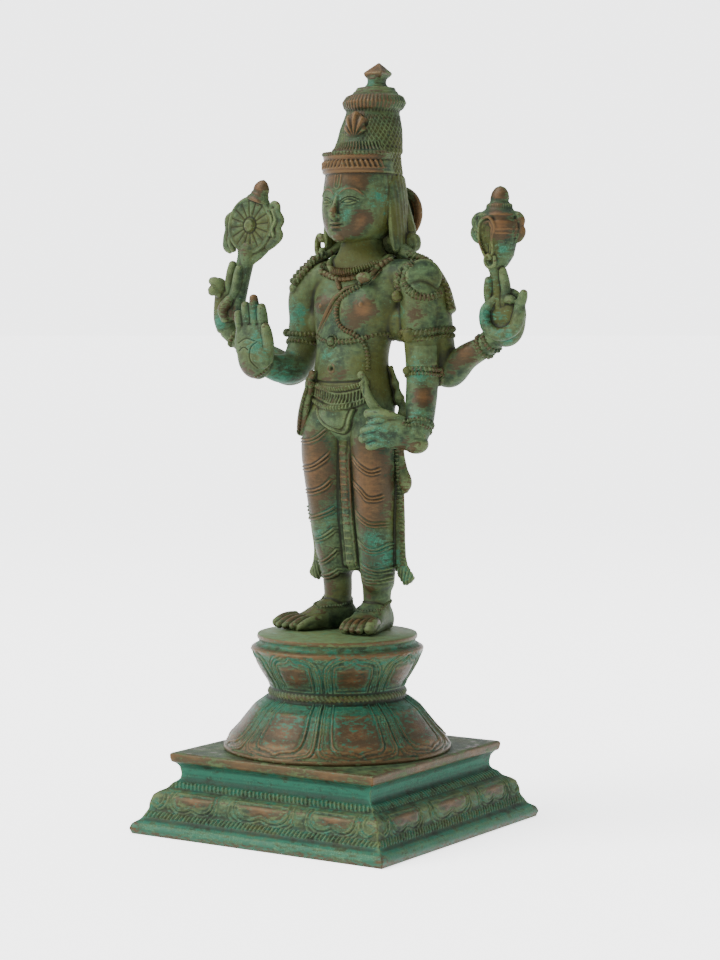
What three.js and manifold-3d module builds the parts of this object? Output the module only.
// A four-armed standing figure in cast bronze, on a double lotus and a stepped square plinth.
// Millimetres, +Z up, the figure faces -Y, the origin is the centre of the underside.
import * as THREE from "three";
import { mergeVertices } from "three/addons/utils/BufferGeometryUtils.js";
import Module from "manifold-3d";

const wasm = await Module();
wasm.setup();

const PLINTH_HALF = 60;
const PLINTH_HEIGHT = 32;
const LOTUS_RADIUS = 46;
const LOTUS_HEIGHT = 46.5;
const FIGURE_HEIGHT = 230.4;
const PETALS = 8;
const PETAL_RELIEF = 1;
const UPPER_TURN = THREE.MathUtils.degToRad(-6);
const PLINTH_TRIANGLES = 900;
const LOTUS_TRIANGLES = 2200;
const FIGURE_TRIANGLES = 6800;
const BRONZE = { color: 0x54705c, roughness: 0.62, metalness: 0.55 };
const GREEN = { color: 0x4c7a66, roughness: 0.7, metalness: 0.4 };

// Plinth side, from the underside up: [share of the half width, share of the height].
const PLINTH_PROFILE = [
  [0.986, 0], [1, 0.0688], [0.986, 0.1313], [0.95, 0.175], [0.938, 0.1969], [0.927, 0.2375],
  [0.91, 0.2906], [0.905, 0.3094], [0.903, 0.3781], [0.885, 0.4813], [0.86, 0.5188], [0.817, 0.5594],
  [0.808, 0.5781], [0.793, 0.6188], [0.772, 0.6406], [0.755, 0.6719], [0.75, 0.7312], [0.758, 0.8219],
  [0.777, 0.8688], [0.797, 0.8844], [0.805, 0.9375], [0.805, 0.9875], [0.792, 1],
];
// Petals on the plinth's roll, as shares of the half width: pitch, half widths.
const MOTIF_PITCH = 0.558;
const MIDDLE_MOTIF = 0.217;
const SIDE_MOTIF = 0.163;
const MOTIF_FOOT = 0.331;
const MOTIF_HIGH = 0.188;

// Lotus from its foot up: [share of the radius, share of the height].
const DOME_PROFILE = [
  [0.9696, 0.0731], [0.9478, 0.1161], [0.8826, 0.1806], [0.8174, 0.2581], [0.7304, 0.3656], [0.6174, 0.4473],
];
const CUP_PROFILE = [
  [0.5913, 0.5462], [0.613, 0.6022], [0.6609, 0.6753], [0.7043, 0.7527], [0.7348, 0.8258], [0.7609, 0.8817],
];
const LOTUS_PROFILE = [
  [1, 0], [1, 0.0344], [0.9761, 0.043], [0.9761, 0.0559], ...DOME_PROFILE,
  [0.5957, 0.4731], ...CUP_PROFILE,
  [0.7174, 0.9075], [0.687, 0.9226], [0.687, 0.9505], [0.7043, 0.9634], [0.7043, 1],
];
const ROPE_OUT = 0.596;
const ROPE_THICK = 0.041;
const ROPE_UP = 0.495;

// The figure's own tables are in millimetres above its soles, at its authored height.
// Trunk, from the hips up: [height, x, y, half width, front, back].
const TRUNK = [
  [76, 0.6, 9.6, 6, 6, 9], [80, 0.8, 9.2, 11.6, 8.6, 11.4], [84, 1, 9, 17.6, 11, 12.6],
  [90, 0.8, 9, 19.6, 11.6, 12.6],
  [97, 0.6, 9.4, 18.6, 11.4, 12], [104, 0.4, 10, 17, 12, 11.4], [111, 0.2, 10.8, 16.2, 11.4, 11],
  [118, 0.3, 12, 17.2, 11, 11], [125, 0.6, 13.2, 19.4, 11.4, 11.4], [132, 1, 14.6, 21.4, 12, 12],
  [138, 1.4, 15.8, 23, 11.6, 11.6], [144, 1.6, 16.8, 21.6, 10, 10.8], [148.5, 1.3, 17, 17, 8.8, 9.6],
  [152, 0.8, 17, 11.4, 8.6, 9], [156, 0.6, 17.2, 8.8, 8.4, 8.6], [163, 0.6, 18, 8.4, 8, 9],
];

// Head, from the chin up, same columns as the trunk.
const HEAD = [
  [157, 0, 14.6, 5, 9.8, 4], [158.4, 0, 15.8, 9, 13.2, 7], [161.5, 0, 16.8, 12.6, 15.4, 11],
  [166, 0, 17.2, 14.8, 16.2, 13], [171, 0, 17.4, 15.7, 16.2, 14], [176, 0.1, 17.6, 15.7, 15.8, 14.6],
  [181, 0.2, 18.2, 15.4, 15.8, 15], [187, 0.5, 19, 14.8, 15, 15], [192, 0.5, 19.6, 11, 11, 12],
];
const BROW = 176.5;
const EYES = 173;
const NOSE_BASE = 167;
const MOUTH = 163.8;
const EYE_OUT = 5.6;

// Crown, from the diadem up: [height, x, y, radius, depth of its flutes].
const CROWN = [
  [184.4, 0.5, 19, 14.6, 0], [184.6, 0.5, 19, 16.8, 0], [189.2, 0.5, 19.2, 17.1, 0],
  [189.8, 0.5, 19.4, 16.2, 0], [190.4, 0.5, 19.4, 16.8, 0.2], [192.8, 0.5, 19.6, 16.7, 0.2],
  [193.4, 0.5, 21, 14.8, 0], [195.2, 0.5, 22.4, 13.8, 0], [199.2, 0.6, 23.4, 13.2, 0],
  [203.2, 0.6, 24.2, 12.6, 0],
  [207.2, 0.7, 24.9, 11.5, 0], [209.4, 0.7, 25.2, 11, 0], [211.4, 0.8, 25.6, 12.2, 0.35],
  [213.8, 0.9, 26, 13, 0.5], [216.4, 0.9, 26.5, 11.8, 0.4], [217.6, 1, 26.8, 9.2, 0],
  [218.4, 1, 26.9, 9, 0], [220, 1, 27.1, 7.6, 0], [220.6, 1.1, 27.3, 4.8, 0],
  [222.6, 1.2, 27.6, 3.9, 0], [225.8, 1.3, 28.1, 5.2, 0], [228, 1.4, 28.4, 3, 0], [230.4, 1.5, 28.6, 0.3, 0],
];

// Cloth-wrapped legs, from the hem up: [height, x, y, half width, front, back].
const RIGHT_LEG = [
  [20.5, -8.8, 14.6, 6.6, 6.6, 7], [30, -9.8, 13.4, 7.6, 7.6, 8], [46, -10.6, 10.8, 8.4, 8.6, 8.6],
  [60, -11, 9.4, 9.2, 9.6, 9.4], [71, -11, 8.6, 10.2, 10.2, 10], [82, -10, 8.8, 10.8, 10.6, 10.6],
  [92, -8, 9, 9.6, 9, 10],
];
const LEFT_LEG = [
  [18, 9.4, 15.4, 6.8, 6.8, 7], [30, 10.6, 13.6, 7.6, 7.6, 8], [46, 11.4, 10.8, 8.2, 8.4, 8.6],
  [60, 12.2, 9.4, 8.8, 9.2, 9.4], [71, 12.4, 8.6, 9.2, 9.8, 10], [82, 11.8, 8.8, 9.6, 10.4, 10.6],
  [92, 9.4, 9, 9.4, 9, 10],
];
const BANDS = 6;
const BAND_DEPTH = 0.55;

// Arms: [x, y, height, radius] from the shoulder to the wrist.
const RIGHT_FRONT_ARM = [
  [-20, 17, 143, 7.5], [-24.8, 17, 137, 8.4], [-26, 16.6, 125, 7.4], [-27, 15, 113, 6.9],
  [-28.4, 11, 106.6, 6.6], [-30.6, 4, 106, 6], [-33, -3, 108, 4.8], [-34, -6, 110, 4.6],
];
const RIGHT_REAR_ARM = [
  [-26, 18, 134, 7], [-29, 19.6, 122, 7], [-32, 21.4, 110, 7], [-37.4, 21.8, 105.4, 7],
  [-47, 21, 109, 6.1], [-58, 19.4, 115.4, 5], [-68, 17.6, 122.4, 4.1],
];
const LEFT_FRONT_ARM = [
  [25, 14.6, 143, 7.5], [30.6, 13.6, 137, 8.6], [31.4, 13, 125, 7.8], [32.4, 12.4, 113, 7],
  [33, 11.6, 103, 6.6], [34.2, 8.6, 93, 6.3], [35.8, 4.6, 84, 5.4], [35.2, 2.6, 79, 5],
];
const LEFT_REAR_ARM = [
  [33, 17, 137, 8], [35.2, 18, 124, 7], [36, 20.4, 111, 6.8], [39, 21, 105, 6.4], [48, 20, 111, 5.4],
  [60.6, 18.2, 117.2, 4.4], [66.6, 17, 121.6, 4.2],
];

const DISCUS = { x: -50.6, y: 12, z: 164.8, radius: 12.2, wide: 0.93, lean: THREE.MathUtils.degToRad(19) };
const SPOKES = 16;
// Conch: [height, x, radius], from its lower point up, standing at one y.
const CONCH_Y = 14;
const CONCH = [
  [144.6, 64.8, 2.6], [147, 65.8, 4.4], [150.6, 66.4, 6.3], [154.4, 66.4, 7.2], [158, 66.2, 8.3],
  [161.6, 66, 9.3], [164, 66, 9.2], [164.6, 66, 8.5], [167.2, 66, 8.3], [168.6, 66.4, 6.2],
  [169.4, 66.6, 5.8], [171.2, 66.6, 5.6], [171.6, 66.6, 3.9], [173, 66.7, 3.5], [175.6, 66.9, 1.8],
  [177.5, 67, 0.3],
];

const v = (x, y, z) => new THREE.Vector3(x, y, z);

// One closed solid from a geometry, whichever way its faces point.
function solidOf(geometry) {
  const plain = new THREE.BufferGeometry();
  const loose = geometry.index ? geometry.toNonIndexed() : geometry;
  plain.setAttribute("position", loose.getAttribute("position"));
  const merged = mergeVertices(plain, 1e-4);
  const vertProperties = new Float32Array(merged.attributes.position.array);
  const triVerts = new Uint32Array(merged.index.array);
  const made = new wasm.Manifold(new wasm.Mesh({ numProp: 3, vertProperties, triVerts }));
  if (made.volume() > 0) return made;
  const turned = new Uint32Array(triVerts).reverse();
  return new wasm.Manifold(new wasm.Mesh({ numProp: 3, vertProperties, triVerts: turned }));
}

function unionAll(solids) {
  let row = solids;
  while (row.length > 1) {
    const next = [];
    for (let i = 0; i < row.length; i += 2) {
      next.push(i + 1 < row.length ? row[i].add(row[i + 1]) : row[i]);
    }
    row = next;
  }
  return row[0];
}

// The outer skin of a union, thinned: pockets left between crossing pieces are filled.
function oneBody(name, pieces, most) {
  const bodies = unionAll(pieces).decompose().filter((b) => b.volume() > 0);
  bodies.sort((a, b) => b.volume() - a.volume());
  const loose = bodies.slice(1).filter((b) => b.volume() > 0.01);
  if (loose.length) {
    const places = loose.map((b) => b.boundingBox().min.map((x) => x.toFixed(1)).join(" "));
    throw new Error(`${name} has loose pieces at ${places.join(", ")}`);
  }
  return thin(bodies[0], most);
}

// Quadric of a triangle's plane, weighted by its area: ten numbers of a symmetric matrix.
function planeQuadric(a, b, c) {
  const n = v(0, 0, 0).crossVectors(b.clone().sub(a), c.clone().sub(a));
  const area = n.length();
  if (area < 1e-12) return new Float64Array(10);
  n.divideScalar(area);
  const d = -n.dot(a);
  const k = [n.x, n.y, n.z, d];
  const q = [];
  for (let i = 0; i < 4; i++) {
    for (let j = i; j < 4; j++) {
      q.push(k[i] * k[j] * area);
    }
  }
  return Float64Array.from(q);
}

function quadricError(q, p) {
  return (
    q[0] * p.x * p.x + 2 * q[1] * p.x * p.y + 2 * q[2] * p.x * p.z + 2 * q[3] * p.x +
    q[4] * p.y * p.y + 2 * q[5] * p.y * p.z + 2 * q[6] * p.y +
    q[7] * p.z * p.z + 2 * q[8] * p.z + q[9]
  );
}

// The cheapest place to merge two points to: the quadric's own minimum, or one of three on the edge.
function mergePlace(q, a, b) {
  const tries = [a, b, a.clone().lerp(b, 0.5)];
  const m = new THREE.Matrix3().set(q[0], q[1], q[2], q[1], q[4], q[5], q[2], q[5], q[7]);
  const scale = Math.cbrt(Math.abs(m.determinant()));
  if (scale > 1e-3) {
    const best = v(-q[3], -q[6], -q[8]).applyMatrix3(m.invert());
    if (best.distanceTo(tries[2]) < 2 * a.distanceTo(b)) tries.push(best);
  }
  const errors = tries.map((p) => quadricError(q, p));
  const least = errors.indexOf(Math.min(...errors));
  return [tries[least], Math.max(0, errors[least])];
}

// Merges edges, cheapest first, until a solid has no more than a number of triangles.
function thin(solid, most) {
  const m = solid.asOriginal().simplify(0.02).getMesh();
  const points = [];
  for (let i = 0; i < m.numVert; i++) {
    points.push(v(...m.vertProperties.subarray(i * m.numProp, i * m.numProp + 3)));
  }
  const faces = [];
  const around = points.map(() => new Set());
  const quadrics = points.map(() => new Float64Array(10));
  for (let f = 0; f < m.numTri; f++) {
    const t = [...m.triVerts.subarray(f * 3, f * 3 + 3)];
    faces.push(t);
    const q = planeQuadric(...t.map((i) => points[i]));
    for (const i of t) {
      around[i].add(f);
      q.forEach((x, k) => (quadrics[i][k] += x));
    }
  }
  const stamp = new Uint32Array(points.length);
  const neighbours = (i) => {
    const found = new Set([...around[i]].flatMap((f) => faces[f]));
    found.delete(i);
    return found;
  };
  const heap = [];
  const push = (item) => {
    let i = heap.push(item) - 1;
    while (i > 0) {
      const up = (i - 1) >> 1;
      if (heap[up].cost <= heap[i].cost) break;
      [heap[up], heap[i]] = [heap[i], heap[up]];
      i = up;
    }
  };
  const pop = () => {
    const top = heap[0];
    const last = heap.pop();
    if (!heap.length) return top;
    heap[0] = last;
    let i = 0;
    for (;;) {
      let low = 2 * i + 1;
      if (low >= heap.length) break;
      if (low + 1 < heap.length && heap[low + 1].cost < heap[low].cost) low++;
      if (heap[i].cost <= heap[low].cost) break;
      [heap[low], heap[i]] = [heap[i], heap[low]];
      i = low;
    }
    return top;
  };
  const offer = (a, b) => {
    const q = quadrics[a].map((x, k) => x + quadrics[b][k]);
    const [place, error] = mergePlace(q, points[a], points[b]);
    const cost = error + 1e-6 * points[a].distanceToSquared(points[b]);
    push({ a, b, q, place, cost, marks: [stamp[a], stamp[b]] });
  };
  points.forEach((_, i) => neighbours(i).forEach((j) => i < j && offer(i, j)));
  const keepsFacing = (i, other, place) => {
    for (const f of around[i]) {
      if (faces[f].includes(other)) continue;
      const [p, q, r] = faces[f].map((j) => points[j]);
      const [p2, q2, r2] = faces[f].map((j) => (j === i ? place : points[j]));
      const before = v(0, 0, 0).crossVectors(q.clone().sub(p), r.clone().sub(p));
      const after = v(0, 0, 0).crossVectors(q2.clone().sub(p2), r2.clone().sub(p2));
      if (before.dot(after) < 0.3 * before.length() * after.length() + 1e-9) return false;
    }
    return true;
  };
  let left = faces.length;
  while (left > most && heap.length) {
    const { a, b, q, place, marks } = pop();
    if (marks[0] !== stamp[a] || marks[1] !== stamp[b] || !around[a].size || !around[b].size) continue;
    const near = neighbours(b);
    const shared = [...neighbours(a)].filter((i) => near.has(i));
    if (shared.length !== 2) continue;
    if (!keepsFacing(a, b, place) || !keepsFacing(b, a, place)) continue;
    for (const f of [...around[b]]) {
      if (faces[f].includes(a)) {
        faces[f].forEach((i) => around[i].delete(f));
        faces[f] = null;
        left--;
      } else {
        faces[f] = faces[f].map((i) => (i === b ? a : i));
        around[a].add(f);
      }
    }
    around[b].clear();
    points[a] = place;
    quadrics[a] = q;
    stamp[a]++;
    stamp[b]++;
    neighbours(a).forEach((j) => offer(a, j));
  }
  return solidOf(geometryOf(points, faces.filter(Boolean).flat()));
}

function geometryOf(points, faces) {
  const g = new THREE.BufferGeometry();
  const flat = new Float32Array(points.length * 3);
  points.forEach((p, i) => flat.set([p.x, p.y, p.z], i * 3));
  g.setAttribute("position", new THREE.BufferAttribute(flat, 3));
  g.setIndex(faces);
  return g;
}

function middle(points) {
  const sum = points.reduce((s, p) => s.add(p), v(0, 0, 0));
  return sum.multiplyScalar(1 / points.length);
}

// Skins rings of equal count, each anticlockwise about the way of travel, and closes both ends.
function loft(rings) {
  const n = rings[0].length;
  const points = rings.flat().concat([middle(rings[0]), middle(rings.at(-1))]);
  const faces = [];
  for (let i = 0; i + 1 < rings.length; i++) {
    for (let j = 0; j < n; j++) {
      const k = (j + 1) % n;
      faces.push(i * n + j, i * n + k, (i + 1) * n + k);
      faces.push(i * n + j, (i + 1) * n + k, (i + 1) * n + j);
    }
  }
  const first = points.length - 2;
  const top = (rings.length - 1) * n;
  for (let j = 0; j < n; j++) {
    const k = (j + 1) % n;
    faces.push(first, k, j);
    faces.push(first + 1, top + j, top + k);
  }
  return solidOf(geometryOf(points, faces));
}

// Value of each column of a table at a height, eased between its rows.
function rowAt(table, h) {
  if (h <= table[0][0]) return table[0];
  const i = table.findIndex((r) => r[0] >= h);
  if (i < 0) return table.at(-1);
  const a = table[i - 1];
  const b = table[i];
  const t = (h - a[0]) / (b[0] - a[0]);
  return a.map((x, k) => x + (b[k] - x) * t);
}

// Level oval ring of a body row, with its own front and back depth.
function bodyRing([h, x, y, half, front, back], n, turn = 0) {
  const points = [];
  for (let j = 0; j < n; j++) {
    const t = (2 * Math.PI * j) / n;
    const depth = Math.sin(t) > 0 ? back : front;
    const p = v(half * Math.cos(t), depth * Math.sin(t), h);
    p.applyAxisAngle(v(0, 0, 1), turn);
    points.push(p.add(v(x, y, 0)));
  }
  return points;
}

function turnAt(h) {
  return UPPER_TURN * THREE.MathUtils.smoothstep(h, 100, 140);
}

// Point of the trunk's front at a sideways offset and a height, stood off by a lift.
function onTrunk(x, h, lift = 0) {
  const [, cx, cy, half, front] = rowAt(TRUNK, h);
  const s = THREE.MathUtils.clamp((x - cx) / half, -0.97, 0.97);
  const p = v(half * s, -front * Math.sqrt(1 - s * s), 0);
  p.add(v(0, -lift, 0)).applyAxisAngle(v(0, 0, 1), turnAt(h));
  return p.add(v(cx, cy, h));
}

// Rings along a path of [x, y, z, radius, flattening], eased through every key.
function pathRings(keys, rows, n, up = v(0, 0, 1)) {
  const curve = new THREE.CatmullRomCurve3(keys.map((k) => v(k[0], k[1], k[2])), false, "centripetal");
  const rings = [];
  for (let i = 0; i <= rows; i++) {
    const t = i / rows;
    const at = t * (keys.length - 1);
    const a = keys[Math.floor(at)];
    const b = keys[Math.min(keys.length - 1, Math.floor(at) + 1)];
    const f = at - Math.floor(at);
    const r = a[3] + (b[3] - a[3]) * f;
    const flat = (a[4] ?? 1) + ((b[4] ?? 1) - (a[4] ?? 1)) * f;
    rings.push(crossRing(curve.getPoint(t), curve.getTangent(t), r, r * flat, n, up));
  }
  return rings;
}

// Oval ring across a direction: half width a along the level side, b across it.
function crossRing(centre, along, a, b, n, up) {
  const side = v(0, 0, 0).crossVectors(up, along);
  if (side.length() < 0.05) side.crossVectors(v(0, 1, 0), along);
  side.normalize();
  const other = v(0, 0, 0).crossVectors(along, side).normalize();
  const points = [];
  for (let j = 0; j < n; j++) {
    const t = (2 * Math.PI * (j + 0.5)) / n;
    const p = centre.clone().addScaledVector(side, a * Math.cos(t));
    points.push(p.addScaledVector(other, b * Math.sin(t)));
  }
  return points;
}

const limb = (keys, rows, n, up) => loft(pathRings(keys, rows, n, up));

// A finger, toe or leaf tip: a limb whose last ring closes to a blunt end.
function digit(from, to, radius, n = 6, bend = v(0, 0, 0)) {
  const mid = from.clone().lerp(to, 0.5).add(bend);
  const near = to.clone().lerp(mid, 0.25);
  const keys = [[from, radius], [mid, radius * 1.04], [near, radius * 0.94], [to, radius * 0.42]];
  return limb(keys.map(([p, r]) => [p.x, p.y, p.z, r]), 4, n, v(0.1, 1, 0.1));
}

function ellipsoid(x, y, z, a, b, c, n = 10, m = 6, turn = 0) {
  const g = new THREE.SphereGeometry(1, n, m);
  g.rotateX(Math.PI / 2);
  g.scale(a, b, c);
  g.rotateZ(turn);
  g.translate(x, y, z);
  return solidOf(g);
}

// A cord along points: open, or closed on itself.
function cord(points, radius, n = 5, closed = false) {
  const count = points.length;
  const rings = points.map((p, i) => {
    const back = points[closed ? (i + count - 1) % count : Math.max(0, i - 1)];
    const on = points[closed ? (i + 1) % count : Math.min(count - 1, i + 1)];
    const r = Array.isArray(radius) ? radius[i % radius.length] : radius;
    return crossRing(p, on.clone().sub(back).normalize(), r, r, n, v(0.02, 0.03, 1));
  });
  if (!closed) return loft(rings);
  const faces = [];
  for (let i = 0; i < count; i++) {
    const i2 = (i + 1) % count;
    for (let j = 0; j < n; j++) {
      const k = (j + 1) % n;
      faces.push(i * n + j, i * n + k, i2 * n + k, i * n + j, i2 * n + k, i2 * n + j);
    }
  }
  return solidOf(geometryOf(rings.flat(), faces));
}

// Closed loop round a body row, sagging by a drop at the front.
function hoop(table, h, stand, radius, count, drop = 0, turn = 0) {
  const points = [];
  for (let j = 0; j < count; j++) {
    const t = (2 * Math.PI * j) / count;
    const z = h - drop * Math.max(0, -Math.sin(t)) ** 2;
    const [, x, y, half, front, back] = rowAt(table, z);
    const depth = (Math.sin(t) > 0 ? back : front) + stand;
    const p = v((half + stand) * Math.cos(t), depth * Math.sin(t), z);
    points.push(p.applyAxisAngle(v(0, 0, 1), turn).add(v(x, y, 0)));
  }
  return cord(points, radius, 4, true);
}

// Ring with a round section about an arm, at a share of the arm's keys.
function bangle(keys, at, radius, stand, count = 9) {
  const curve = new THREE.CatmullRomCurve3(keys.map((k) => v(k[0], k[1], k[2])), false, "centripetal");
  const t = at / (keys.length - 1);
  const i = Math.min(keys.length - 2, Math.floor(at));
  const r = keys[i][3] + (keys[i + 1][3] - keys[i][3]) * (at - i) + stand;
  const ring = crossRing(curve.getPoint(t), curve.getTangent(t), r, r, count, v(0, 0, 1));
  return cord(ring, radius, 4, true);
}

// Raised leaf on a curved face: an outline with a rim, a sunk field and a closed back.
function leaf(outline, place, rim, field) {
  const n = outline.length;
  const cu = outline.reduce((s, p) => s + p[0], 0) / n;
  const cv = outline.reduce((s, p) => s + p[1], 0) / n;
  const levels = [[1, -0.5], [0.96, rim], [0.78, rim], [0.7, field]];
  const rings = levels.map(([share, height]) =>
    outline.map(([a, b]) => place(cu + (a - cu) * share, cv + (b - cv) * share, height)));
  const points = rings.flat().concat([place(cu, cv, -2), place(cu, cv, rim)]);
  const faces = [];
  for (let i = 0; i + 1 < rings.length; i++) {
    for (let j = 0; j < n; j++) {
      const k = (j + 1) % n;
      faces.push(i * n + j, i * n + k, (i + 1) * n + k);
      faces.push(i * n + j, (i + 1) * n + k, (i + 1) * n + j);
    }
  }
  const back = points.length - 2;
  const top = (rings.length - 1) * n;
  for (let j = 0; j < n; j++) {
    const k = (j + 1) % n;
    faces.push(back, k, j);
    faces.push(back + 1, top + j, top + k);
  }
  return solidOf(geometryOf(points, faces));
}

function squarePlinth() {
  const corners = [[1, -1], [1, 1], [-1, 1], [-1, -1]];
  const rows = PLINTH_PROFILE.map(([out, up]) => [up * PLINTH_HEIGHT, out * PLINTH_HALF]);
  const body = loft(rows.map(([z, half]) => corners.map(([sx, sy]) => v(sx * half, sy * half, z))));
  const scallop = [
    [-0.94, 1], [0, 1], [0.94, 1], [1, 0.55], [0.84, 0.14], [0.48, 0], [0.16, 0.2], [0, 0.36],
    [-0.16, 0.2], [-0.48, 0], [-0.84, 0.14], [-1, 0.55],
  ];
  const motifs = [];
  for (let side = 0; side < 4; side++) {
    for (let k = -1; k <= 1; k++) {
      const place = (a, b, lift) => {
        const z = (MOTIF_FOOT + b * MOTIF_HIGH) * PLINTH_HEIGHT;
        const out = rowAt(rows, z)[1] + lift;
        const along = (k * MOTIF_PITCH + a * (k ? SIDE_MOTIF : MIDDLE_MOTIF)) * PLINTH_HALF;
        return v(along, -out, z + lift * 0.4).applyAxisAngle(v(0, 0, 1), (side * Math.PI) / 2);
      };
      motifs.push(leaf(scallop, place, PETAL_RELIEF, PETAL_RELIEF * 0.5));
    }
  }
  return oneBody("square_plinth", [body, ...motifs], PLINTH_TRIANGLES);
}

const lotusZ = (up) => PLINTH_HEIGHT + up * LOTUS_HEIGHT;

function lathe(profile, n) {
  return loft(profile.map(([r, z]) => {
    const ring = [];
    for (let j = 0; j < n; j++) {
      const t = (2 * Math.PI * j) / n;
      ring.push(v(r * Math.cos(t), r * Math.sin(t), z));
    }
    return ring;
  }));
}

// Half outlines of the lotus petals, from the tip to the root: [share of half width, share of length].
const HANGING = [[0, 1], [0.14, 0.95], [0.6, 0.94], [0.86, 0.86], [1, 0.7], [1, 0]];
const RISING = [[0, 1], [0.12, 0.88], [0.5, 0.82], [0.82, 0.74], [0.98, 0.56], [1, 0]];

// Petals on one tier: roots at one end of the profile and tips at the other.
function petals(profile, halfOutline, half, from, to, rim, field) {
  const outline = [...halfOutline.slice(1).reverse().map(([a, b]) => [-a, b]), ...halfOutline];
  const rows = profile.map(([out, up]) => [up, out * LOTUS_RADIUS]);
  const made = [];
  for (let i = 0; i < PETALS; i++) {
    const base = -Math.PI / 2 + (i * 2 * Math.PI) / PETALS;
    const place = (a, b, lift) => {
      const up = from + (to - from) * b;
      const r = rowAt(rows, up)[1] + lift;
      const t = base + (to < from ? -1 : 1) * a * half;
      return v(r * Math.cos(t), r * Math.sin(t), lotusZ(up) + (to < from ? lift * 0.6 : -lift * 0.3));
    };
    made.push(leaf(outline, place, rim, field));
  }
  return made;
}

function lotusPedestal() {
  const outer = (Math.PI / PETALS) * 0.93;
  const inner = (Math.PI / PETALS) * 0.63;
  const body = lathe(LOTUS_PROFILE.map(([out, up]) => [out * LOTUS_RADIUS, lotusZ(up)]), 40);
  const rope = [];
  for (let j = 0; j < 48; j++) {
    const t = (2 * Math.PI * j) / 48;
    const r = ROPE_OUT * LOTUS_RADIUS;
    rope.push(v(r * Math.cos(t), r * Math.sin(t), lotusZ(ROPE_UP)));
  }
  const thick = ROPE_THICK * LOTUS_RADIUS;
  const low = PETAL_RELIEF * 0.3;
  const high = PETAL_RELIEF * 0.8;
  return oneBody("lotus_pedestal", [
    body,
    cord(rope, [thick, thick * 0.84], 5, true),
    ...petals(DOME_PROFILE, HANGING, outer, 0.443, 0.063, low, low),
    ...petals(DOME_PROFILE, HANGING, inner, 0.439, 0.082, PETAL_RELIEF, high),
    ...petals(CUP_PROFILE, RISING, outer, 0.559, 0.873, low, low),
    ...petals(CUP_PROFILE, RISING, inner, 0.568, 0.847, PETAL_RELIEF, high),
  ], LOTUS_TRIANGLES);
}

function trunk() {
  const body = loft(TRUNK.map((row) => bodyRing(row, 18, turnAt(row[0]))));
  const breast = (x, y) => ellipsoid(x, y, 131, 8.2, 5.4, 7.2, 10, 6);
  return [
    body,
    breast(-7.8, 8),
    breast(9.6, 6.6),
    ellipsoid(0, 4, 105, 10, 6.4, 8, 10, 6),
    ellipsoid(21.4, 15, 125, 6.4, 7, 8.4, 8, 6),
    ellipsoid(-19.4, 17, 125, 6, 7, 8, 8, 6),
    ellipsoid(-16, 17, 145.4, 9, 8, 6, 8, 6),
    ellipsoid(20, 15.6, 145.4, 9, 8, 6, 8, 6),
  ];
}

function face() {
  const front = (x, h, lift) => {
    const [, cx, cy, half, depth] = rowAt(HEAD, h);
    const s = x / half;
    const p = v(half * s, -depth * Math.sqrt(1 - s * s) - lift, 0);
    return p.applyAxisAngle(v(0, 0, 1), UPPER_TURN).add(v(cx, cy, h));
  };
  const pieces = [];
  const bridge = front(0, BROW - 1.5, -0.4);
  const tip = front(0, NOSE_BASE + 1, 1.5);
  const base = front(0, NOSE_BASE - 0.6, 0);
  const nose = [[bridge, 1], [tip, 1.9], [base, 1.5]];
  pieces.push(limb(nose.map(([p, r]) => [p.x, p.y, p.z, r]), 4, 6));
  for (const side of [-1, 1]) {
    const eye = front(side * EYE_OUT, EYES, -1);
    pieces.push(ellipsoid(eye.x, eye.y, eye.z, 3.1, 1.7, 1.25, 8, 4, UPPER_TURN + side * 0.35));
    const brow = [];
    for (let i = 0; i <= 5; i++) {
      const s = 1.6 + i * 1.7;
      brow.push(front(side * s, BROW + 1.2 * Math.sin((Math.PI * (i + 0.6)) / 6), -0.1));
    }
    pieces.push(cord(brow, 0.55, 4));
    const nostril = front(side * 1.7, NOSE_BASE + 0.4, -0.2);
    pieces.push(ellipsoid(nostril.x, nostril.y, nostril.z, 1.2, 1.3, 1.1, 6, 4));
  }
  const lips = front(0, MOUTH, -0.9);
  pieces.push(ellipsoid(lips.x, lips.y, lips.z + 0.6, 3.3, 1.5, 0.8, 8, 4));
  pieces.push(ellipsoid(lips.x, lips.y, lips.z - 0.7, 2.7, 1.6, 0.8, 8, 4));
  const chin = front(0, 159, -2.4);
  pieces.push(ellipsoid(chin.x, chin.y, chin.z, 3.6, 3, 2.4, 8, 5));
  return pieces;
}

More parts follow.
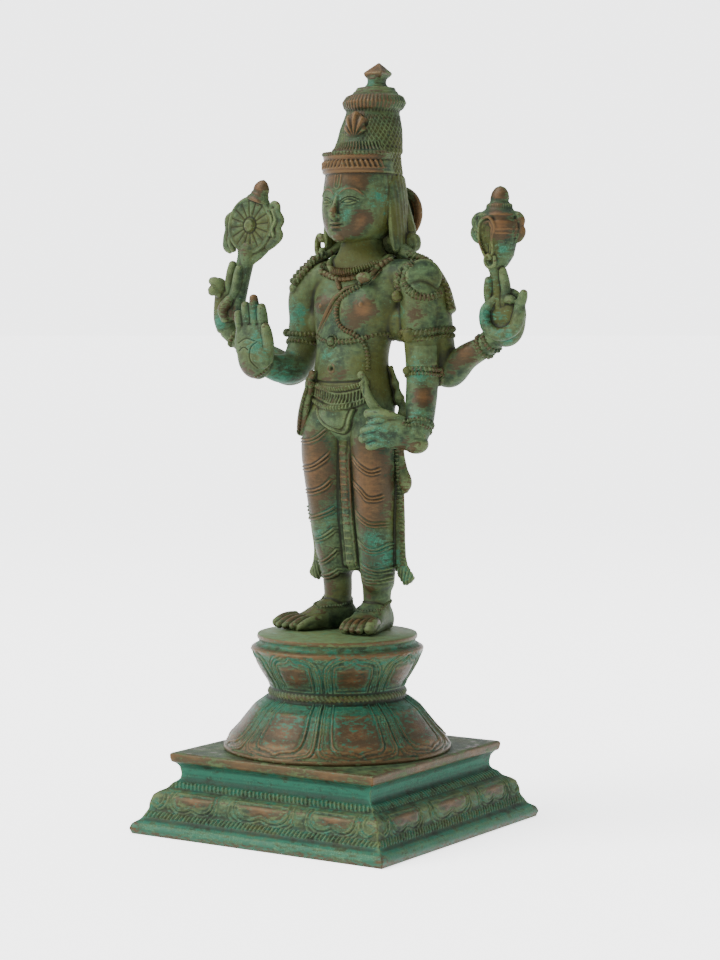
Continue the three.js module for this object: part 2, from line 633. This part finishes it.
function head() {
  const pieces = [loft(HEAD.map((row) => bodyRing(row, 16, UPPER_TURN))), ...face()];
  for (const side of [-1, 1]) {
    const x = (s) => 0.5 + side * s;
    pieces.push(limb([
      [x(14.8), 20, 182, 1.6, 1.6], [x(16.2), 21.4, 174, 2.2, 1.7], [x(16), 21, 166, 1.8, 1.7],
      [x(16.4), 19.4, 157, 2, 1.4],
    ], 5, 6));
    const ring = [];
    for (let j = 0; j < 8; j++) {
      const t = (2 * Math.PI * j) / 8;
      ring.push(v(x(18.4 + 2.6 * Math.cos(t)), 16.6 - side * 1.4, 157.4 + 3.6 * Math.sin(t)));
    }
    pieces.push(cord(ring, 1.4, 5, true));
    pieces.push(limb([
      [x(10), 27, 182, 3, 0.7], [x(13.4), 28, 168, 3.8, 0.7], [x(16.4), 26.4, 156, 4.6, 0.8],
      [x(18), 24, 149, 4.4, 0.7],
    ], 4, 7));
    pieces.push(ellipsoid(x(19.6), 25.6, 157.4, 4, 3.4, 4, 8, 5));
  }
  pieces.push(ellipsoid(0.8, 27, 160, 13, 7, 12, 12, 6));
  const disc = [[10, 36], [11.2, 37], [11.2, 38.4], [8, 39.4], [2, 40.4]];
  const halo = lathe(disc.map(([r, z]) => [r, z]), 18);
  pieces.push(halo.rotate([-90, 0, 0]).translate([5.6, 0, 169.6]));
  pieces.push(limb([[1, 28, 172, 6], [5, 38, 169.8, 5]], 1, 8));
  return pieces;
}

function crown() {
  const n = 32;
  const rings = CROWN.map(([h, x, y, r, flute]) => {
    const ring = [];
    for (let j = 0; j < n; j++) {
      const t = (2 * Math.PI * j) / n;
      const out = r + (j % 2 ? -flute : flute);
      ring.push(v(x + out * Math.cos(t), y + out * Math.sin(t), h));
    }
    return ring;
  });
  const shell = (a, b, lift) => v(0.4 + a * 4.6, 10.6 - lift * 1.1 + b * 3.6, 200 + b * 9.4);
  const fan = [
    [-0.35, 0], [0.35, 0], [0.8, 0.3], [1, 0.6], [0.75, 0.9], [0, 1.05], [-0.75, 0.9], [-1, 0.6], [-0.8, 0.3],
  ];
  return [
    loft(rings),
    leaf(fan, shell, 1, 0.5),
    limb([[1, 35, 186, 5, 0.7], [1.4, 36, 194, 4.4, 0.6], [1.4, 35, 202, 2.6, 0.6]], 3, 8),
  ];
}

// Slanting bands of cloth round one leg, each with a sunk line and a rolled lip.
function leg(table, slant, sag) {
  const low = table[0][0];
  const high = table.at(-1)[0];
  const step = (high - 8 - low) / BANDS;
  const heights = [[low, 0]];
  for (let b = 0; b < BANDS; b++) {
    const z = low + b * step;
    if (b) heights.push([z - 0.7, BAND_DEPTH], [z, -BAND_DEPTH], [z + 0.9, BAND_DEPTH * 0.6]);
    heights.push([z + step * 0.5, 0.1]);
  }
  heights.push([high - 4, 0], [high, 0]);
  const rings = heights.map(([h, swell]) => {
    const row = rowAt(table, h);
    const [, x, y, half, front, back] = row;
    const ring = bodyRing([h, x, y, half + swell, front + swell, back + swell], 16);
    return ring.map((p) => {
      const ease = h > low + 1 && h < high - 6 ? 1 : 0;
      const across = (p.x - x) / half;
      const fore = Math.max(0, (y - p.y) / front);
      return p.add(v(0, 0, ease * (slant * across - sag * fore)));
    });
  });
  return loft(rings);
}

function legs() {
  const pleat = [];
  const rows = 24;
  for (let i = 0; i <= rows; i++) {
    const h = 24.4 + (52.6 * i) / rows;
    const y = rowAt(RIGHT_LEG, h)[2];
    const out = (i % 2 ? 0.5 : -0.3) + 6.2;
    const half = 4.4;
    pleat.push([
      v(-half, y - 3.6, h), v(-2, y - out + 0.6, h), v(-1.4, y - out - 0.4, h), v(1.4, y - out - 0.4, h),
      v(2, y - out + 0.6, h), v(half, y - 3.6, h), v(half, y + 4, h), v(-half, y + 4, h),
    ]);
  }
  const shin = (x, y) => limb([
    [x, y + 0.6, 4, 5.8], [x, y, 11, 6.1], [x, y - 0.2, 17, 6.4], [x, y - 1, 26, 6],
  ], 4, 10);
  const backCloth = loft([[26, 14.4, 11], [50, 13, 12], [78, 11.6, 13]].map(([h, y, half]) =>
    bodyRing([h, 0, y, half, 4, 6], 10)));
  return [
    leg(RIGHT_LEG, 3.6, 1.2),
    leg(LEFT_LEG, -0.6, 2.6),
    loft(pleat),
    backCloth,
    shin(-10, 15.4),
    shin(8.9, 15.8),
  ];
}

// Belts, the looped cloth under them, and the hanging sashes with their flared ends.
function waistCloth() {
  const pieces = [
    hoop(TRUNK, 101.8, 0.5, 1.1, 22, 2),
    hoop(TRUNK, 97, 0.4, 2.4, 22, 3),
    hoop(TRUNK, 91.2, 0.7, 1.2, 22, 3.4),
    ellipsoid(0.6, 1.4, 87, 11, 7.2, 5.8, 12, 6),
  ];
  const loop = [];
  for (let i = 0; i <= 8; i++) {
    const t = Math.PI * (i / 8);
    loop.push(v(0.6 - 8 * Math.cos(t), -5.4 + 3 * Math.cos(t) ** 2, 89 - 6.4 * Math.sin(t)));
  }
  pieces.push(cord(loop, 1, 5));
  const sash = (keys) => limb(keys, 5, 6, v(0, 1, 0.05));
  pieces.push(sash([
    [-13.4, 1, 104, 1.7, 1], [-15.6, 0.6, 94, 2, 1], [-18, 2, 85, 2.2, 1], [-19.4, 3, 76.8, 1.5, 1],
  ]));
  pieces.push(sash([[-17.6, 11, 101, 2.2, 1.4], [-19.8, 11, 95, 2.8, 1.4], [-19.6, 11, 88, 2, 1.4]]));
  pieces.push(sash([
    [14, 0.4, 104, 1.4, 1], [15.6, -0.6, 96, 1.9, 1], [19, 0.4, 88, 2, 1], [22.6, 3, 80, 2, 1],
  ]));
  pieces.push(sash([
    [17, 13.4, 106, 2, 1.2], [19.4, 13, 100, 2.8, 1.2], [21.8, 12.6, 93, 3.6, 1.1], [25, 12, 86, 3, 1.2],
  ]));
  pieces.push(sash([
    [22, 11, 86, 2.4, 1.6], [22.8, 12, 72, 2.6, 1.6], [24.2, 12, 62.4, 3.4, 1.4], [23.6, 13, 57.6, 1.8, 1.2],
  ]));
  for (const [side, shift] of [[-1, -2.2], [1, 0]]) {
    const x = (s) => side * s + shift;
    pieces.push(sash([
      [x(19), 12.6, 80, 2.2, 1.4], [x(19), 13.4, 60, 2.3, 1.5], [x(18.8), 15, 40, 2.5, 1.5],
      [x(18.2), 16.4, 26, 2.8, 1.5], [x(19.6), 17, 19.6, 3.6, 1.1],
    ]));
    pieces.push(limb([
      [side * 13, 15.4, 78, 6, 0.5], [side * 13, 16.6, 50, 5.4, 0.5], [side * 13, 18.4, 26, 5.4, 0.5],
    ], 3, 8, v(0, 1, 0.05)));
  }
  return pieces;
}

// A foot: [share along it, half width, height] from the heel to the ball, then five toes.
function foot(heelX, heelY, toeX, toeY, inner) {
  const along = v(toeX - heelX, toeY - heelY, 0);
  const length = along.length();
  along.normalize();
  const side = v(-along.y, along.x, 0);
  const rows = [
    [0, 3.4, 4], [0.07, 5, 8], [0.2, 5.8, 13], [0.4, 6.4, 12.8], [0.56, 7.4, 10.8], [0.72, 8.4, 7.8],
    [0.83, 8.2, 5.2],
  ];
  const rings = rows.map(([t, half, high]) => {
    const c = v(heelX, heelY, 0).addScaledVector(along, t * length);
    const at = (s, h) => c.clone().addScaledVector(side, s * half).add(v(0, 0, h));
    return [
      at(1, 0), at(1.04, high * 0.4), at(0.72, high * 0.8), at(0, high), at(-0.72, high * 0.8),
      at(-1.04, high * 0.4), at(-1, 0), at(0, 0),
    ];
  });
  const pieces = [loft(rings.map((ring) => ring.reverse()))];
  const toes = [[0.94, 1.02, 2.7], [0.4, 1.04, 2.3], [-0.08, 1, 2.2], [-0.52, 0.94, 2.1], [-0.94, 0.87, 2]];
  toes.forEach(([s, reach, r]) => {
    const across = inner * s * 7.4;
    const from = v(heelX, heelY, r * 1.5).addScaledVector(along, length * 0.7);
    from.addScaledVector(side, across * 0.86);
    const to = v(heelX, heelY, r * 0.95).addScaledVector(along, length * reach);
    to.addScaledVector(side, across);
    pieces.push(digit(from, to, r, 6, v(0, 0, 1.2)));
  });
  return pieces;
}

function feet() {
  const anklet = (x, y, h, wide, long, turn) => {
    const ring = [];
    for (let j = 0; j < 12; j++) {
      const t = (2 * Math.PI * j) / 12;
      const p = v(wide * Math.cos(t), long * Math.sin(t), h + 0.8 * Math.sin(t));
      ring.push(p.applyAxisAngle(v(0, 0, 1), turn).add(v(x, y, 0)));
    }
    return cord(ring, 1, 4, true);
  };
  return [
    ...foot(-5.4, 23.6, -22.4, -7.2, -1),
    ...foot(7.4, 24, 11.8, -6.6, 1),
    anklet(-12, 11.6, 11.2, 7.2, 11, -0.5),
    anklet(8.8, 13.4, 9.8, 7.8, 9.8, 0.14),
  ];
}

function handUp() {
  const finger = (x, h, tipX, tipH, r) => digit(v(x, -9.6, h - 6), v(tipX, -11.6, tipH), r, 6, v(0, 0.5, 0));
  return [
    limb([
      [-33.6, -4.4, 106.6, 4.6, 0.9], [-34.4, -8, 109, 6.4, 0.6], [-34.6, -9.2, 114, 7.6, 0.42],
      [-35, -9.8, 119, 8, 0.34], [-35.2, -10, 123, 7.6, 0.28],
    ], 6, 8, v(0, 1, 0)),
    finger(-29.6, 123, -28.4, 132.9, 2.1),
    finger(-33.8, 123, -32.8, 136.4, 2.1),
    finger(-37.8, 122.6, -36.8, 133.8, 2),
    finger(-41.2, 121.4, -40.4, 129.7, 1.8),
    digit(v(-29.4, -8, 110), v(-26.2, -13.6, 124.4), 2.3, 6, v(1.4, -0.8, 0)),
  ];
}

function handWithDiscus() {
  const stem = [
    [-60, 15, 127, 2.6], [-58, 14, 134, 2.4], [-55.6, 13, 143, 2.2], [-53, 12.4, 151, 2.6], [-52, 12, 156, 3],
  ];
  return [
    limb([
      [-67.8, 17.6, 121.6, 4.2, 0.9], [-67.6, 16.6, 126.6, 5.4, 0.7], [-66.4, 15.4, 132, 5.8, 0.6],
      [-66, 14.4, 138.6, 5, 0.6],
    ], 4, 8, v(0, 1, 0)),
    limb(stem, 5, 6),
    digit(v(-64.8, 14.6, 136), v(-60.2, 12, 150.6), 1.9, 6, v(-0.6, 0, 0)),
    digit(v(-61.6, 13, 134), v(-52.8, 10.4, 148.8), 1.9, 6, v(0.8, -0.8, 0)),
    digit(v(-67.6, 14, 137), v(-72.4, 10.8, 143.2), 1.9, 6, v(-0.8, -1, 1)),
    digit(v(-67, 12.4, 135), v(-70.6, 9.4, 137.4), 1.8, 6, v(-0.4, -1, 0.6)),
    digit(v(-63, 13, 127), v(-59.4, 10.4, 136), 1.9, 6, v(1.2, -1, 0)),
  ];
}

function discus() {
  const n = SPOKES * 2;
  const wheel = [[0.1, 2.4], [0.22, 2.2], [0.3, 1.1], [0.78, 1.1], [0.86, 1.7], [1, 1.5]];
  const profile = [...wheel, ...[...wheel].reverse().map(([share, depth]) => [share, -depth])];
  const rings = profile.map(([share, depth]) => {
    const ring = [];
    for (let j = 0; j < n; j++) {
      const t = (2 * Math.PI * j) / n;
      const spoke = share > 0.25 && share < 0.8 && j % 2 ? Math.sign(depth) * 0.6 : 0;
      const r = DISCUS.radius * share;
      ring.push(v(DISCUS.wide * r * Math.cos(t), r * Math.sin(t), -(depth + spoke)));
    }
    return ring;
  });
  const r = DISCUS.radius;
  const budProfile = [[3.6, -1], [4, 0.6], [3.2, 1.4], [3.4, 2.8], [2.2, 4.6], [0.3, 6.8]];
  const bud = lathe(budProfile.map(([half, up]) => [half, r + up]), 8);
  const lean = THREE.MathUtils.radToDeg(DISCUS.lean);
  const wheelAndBud = unionAll([loft(rings).rotate([-90, 0, 0]), bud]);
  return [
    wheelAndBud.rotate([0, lean, 0]).translate([DISCUS.x, DISCUS.y, DISCUS.z]),
    limb([
      [-60.4, 12.8, 168.6, 1.6], [-62.8, 13, 166, 2.2], [-63.6, 13, 160.6, 2.4], [-64, 13, 157, 2.4],
      [-58.6, 12.6, 154.8, 1.6],
    ], 6, 6, v(0, 1, 0)),
    limb([
      [-41, 11.6, 172.6, 2], [-37, 11.4, 171.6, 2.5], [-35.6, 11, 167, 2.8], [-36, 11, 161.8, 2.6],
      [-41, 11.6, 159, 2],
    ], 6, 6, v(0, 1, 0)),
  ];
}

function handWithConch() {
  return [
    limb([
      [64.6, 17.4, 119.4, 4.6, 0.9], [69.6, 16.4, 122, 6.6, 0.8], [69.6, 15.6, 127.4, 7.2, 0.6],
      [69, 15, 132.6, 6.4, 0.5],
    ], 5, 8, v(0, 1, 0)),
    digit(v(68, 14.4, 130), v(69.4, 11.8, 146), 2, 6, v(1.4, 0, 0)),
    digit(v(63.6, 14, 128), v(62.8, 11.8, 142.2), 2, 6, v(-0.8, 0, 0)),
    digit(v(72.6, 14, 128), v(79.2, 12, 137.8), 1.9, 6, v(1.2, -0.6, 0)),
    digit(v(72, 14, 131), v(76.4, 11.6, 135.6), 1.9, 6, v(0.4, -0.8, 0.8)),
    digit(v(62.6, 14, 124), v(67.6, 9.4, 136), 2, 6, v(-0.6, -1.6, 0)),
    limb([[66.6, 15, 130, 3.4, 0.8], [65.6, 14.4, 140, 3, 0.9], [65.2, 14, 147, 3, 1]], 3, 8),
  ];
}

function conch() {
  const rings = CONCH.map(([h, x, r]) => bodyRing([h, x, CONCH_Y, r, r * 0.72, r * 0.72], 14));
  const flame = (side) => limb([
    [66 + side * 7, CONCH_Y, 166.4, 2], [66 + side * 10, CONCH_Y, 165.4, 2.5],
    [66 + side * 11.2, CONCH_Y, 161.6, 2.7], [66 + side * 10.2, CONCH_Y, 157.6, 2.3],
    [66 + side * 6.6, CONCH_Y, 156, 1.6],
  ], 6, 6, v(0, 1, 0));
  const lip = cord([
    v(63.4, 9, 150.6), v(61.8, 8.4, 156), v(62.4, 7.6, 162), v(65.4, 7.2, 165), v(68.2, 7.6, 162),
    v(67.8, 8.4, 156), v(66, 9, 150.8),
  ], 1, 5, true);
  return [loft(rings), flame(-1), flame(1), lip, ellipsoid(65.2, 9, 150, 2.2, 2, 2.2, 7, 4)];
}

function handOnThigh() {
  const layer = (z, reach, r, y) => digit(v(29, y + 3, z + 1), v(reach, y - 2.4, z), r, 6, v(0, -1.6, 0.6));
  return [
    limb([
      [36, 3.6, 79.6, 5, 0.9], [32, 1, 80.2, 5.6, 0.7], [26, -1.6, 82, 5.9, 0.62], [20.4, -3, 82.6, 5.6, 0.5],
    ], 5, 8, v(0, 1, 0)),
    ellipsoid(34.6, 2.8, 77.6, 6.4, 4.6, 4.8, 8, 6),
    layer(76.6, 13.4, 1.9, -3.6),
    layer(79.8, 14.2, 1.9, -4.2),
    layer(83, 15, 1.8, -4),
    digit(v(28, -1, 86), v(16.2, -7, 88.8), 2.1, 6, v(0, -0.6, 1)),
  ];
}

function arms() {
  const limbs = [RIGHT_FRONT_ARM, RIGHT_REAR_ARM, LEFT_FRONT_ARM, LEFT_REAR_ARM];
  return [
    ...limbs.map((keys) => limb(keys, keys.length + 2, 10, v(0.2, 0.1, 1))),
    bangle(RIGHT_FRONT_ARM, 2.5, 1.2, 0.3),
    cord(bodyRing([120.6, 33.6, 15.4, 10.4, 9, 9.4], 14, 0.35), 1.3, 5, true),
    bangle(LEFT_FRONT_ARM, 3.9, 1, 0.3),
    bangle(LEFT_FRONT_ARM, 6.3, 1.1, -0.2),
    bangle(RIGHT_FRONT_ARM, 6.6, 1, 0.2),
    bangle(RIGHT_REAR_ARM, 5.75, 1, 0.3),
    bangle(LEFT_REAR_ARM, 5.4, 1, 0.3),
  ];
}

// The two threads across the chest: [x, height] down the trunk's front.
const PLAIN_THREAD = [
  [14, 147], [13, 143.4], [6, 139.6], [-0.6, 136], [-6.6, 129], [-12.2, 121.6], [-14, 117.6],
];
const BEADED_THREAD = [
  [9.4, 139.6], [5, 137.4], [0.6, 133], [-1.6, 127], [1, 122], [8, 118.8], [11, 112], [12.8, 104],
];

// Shoulder tresses, necklaces, the threads across the chest and the chest band.
function adornment() {
  const strand = (pairs, lift, radius, n = 4) => cord(pairs.map(([x, h]) => onTrunk(x, h, lift)), radius, n);
  const jewel = (x, h, half, high) => {
    const p = onTrunk(x, h, 0.4);
    return ellipsoid(p.x, p.y, p.z, half, 1.6, high, 8, 4);
  };
  const collar = [];
  for (let j = 0; j < 16; j++) {
    const t = (2 * Math.PI * j) / 16;
    const fore = Math.max(0, -Math.sin(t));
    collar.push(v(1 + 12.4 * Math.cos(t), 16 + 10.6 * Math.sin(t) - 1.4 * fore, 151.6 - 5.4 * fore));
  }
  return [
    cord(collar, 1.4, 5, true),
    strand([[-10, 147], [-6.5, 143.6], [-2, 141.8], [3, 142.4], [9, 145], [14, 148]], 0.4, 1.2, 5),
    jewel(-0.6, 139.6, 1.6, 2.3),
    strand(PLAIN_THREAD, 0.5, 1),
    strand(BEADED_THREAD, 1.6, 0.8),
    hoop(TRUNK, 118.6, 0.2, 1, 22, 1.2, turnAt(118)),
    jewel(-2.6, 117.6, 2.8, 2.8),
    jewel(9.4, 142, 2.4, 2),
    limb([
      [12, 23, 158, 4, 0.7], [22, 19, 151, 4, 0.7], [32.4, 16.6, 146.6, 4.4, 0.7], [38.6, 18, 138, 4.4, 0.7],
      [41.4, 19.6, 129.6, 3, 0.7],
    ], 6, 7),
    limb([
      [-11, 23, 158, 3.6, 0.7], [-20, 19, 151, 3.2, 0.7], [-27, 15, 145, 2.8, 0.8],
      [-30, 13.6, 138.6, 2.2, 0.8],
    ], 5, 7),
    cord([v(13, 14, 152), v(15, 8.6, 147), v(17.4, 5.4, 140), v(20.4, 4.6, 134.4)], 1, 4),
    cord([
      v(20, 14, 149.6), v(22.4, 7.4, 146), v(22, 5.2, 139), v(25, 4.6, 133.6), v(31.4, 4.2, 132),
      v(37, 8, 134),
    ], 1.1, 4),
    limb([
      [1, 27, 152, 12, 0.5], [1, 27.4, 140, 15, 0.35], [0.6, 25.6, 122, 9, 0.35], [0, 22, 96, 7, 0.4],
    ], 5, 8, v(0, 1, 0.02)),
  ];
}

function figure() {
  const pieces = [
    ...trunk(), ...head(), ...crown(), ...legs(), ...waistCloth(), ...feet(), ...arms(), ...adornment(),
    ...handUp(), ...handWithDiscus(), ...discus(), ...handWithConch(), ...conch(), ...handOnThigh(),
  ];
  const share = FIGURE_HEIGHT / CROWN.at(-1)[0];
  return oneBody("figure", pieces, FIGURE_TRIANGLES).scale(share).translate([0, 0, lotusZ(1)]);
}

function meshOf(name, solid, look) {
  const m = solid.getMesh();
  const flat = new Float32Array(m.numVert * 3);
  for (let i = 0; i < m.numVert; i++) {
    flat.set(m.vertProperties.subarray(i * m.numProp, i * m.numProp + 3), i * 3);
  }
  const g = new THREE.BufferGeometry();
  g.setAttribute("position", new THREE.BufferAttribute(flat, 3));
  g.setIndex(new THREE.BufferAttribute(new Uint32Array(m.triVerts), 1));
  const mesh = new THREE.Mesh(g, new THREE.MeshStandardMaterial(look));
  mesh.name = name;
  return mesh;
}

const group = new THREE.Group();
group.name = "vishnu_figure";
group.add(meshOf("square_plinth", squarePlinth(), GREEN));
group.add(meshOf("lotus_pedestal", lotusPedestal(), GREEN));
group.add(meshOf("figure", figure(), BRONZE));

export default group;
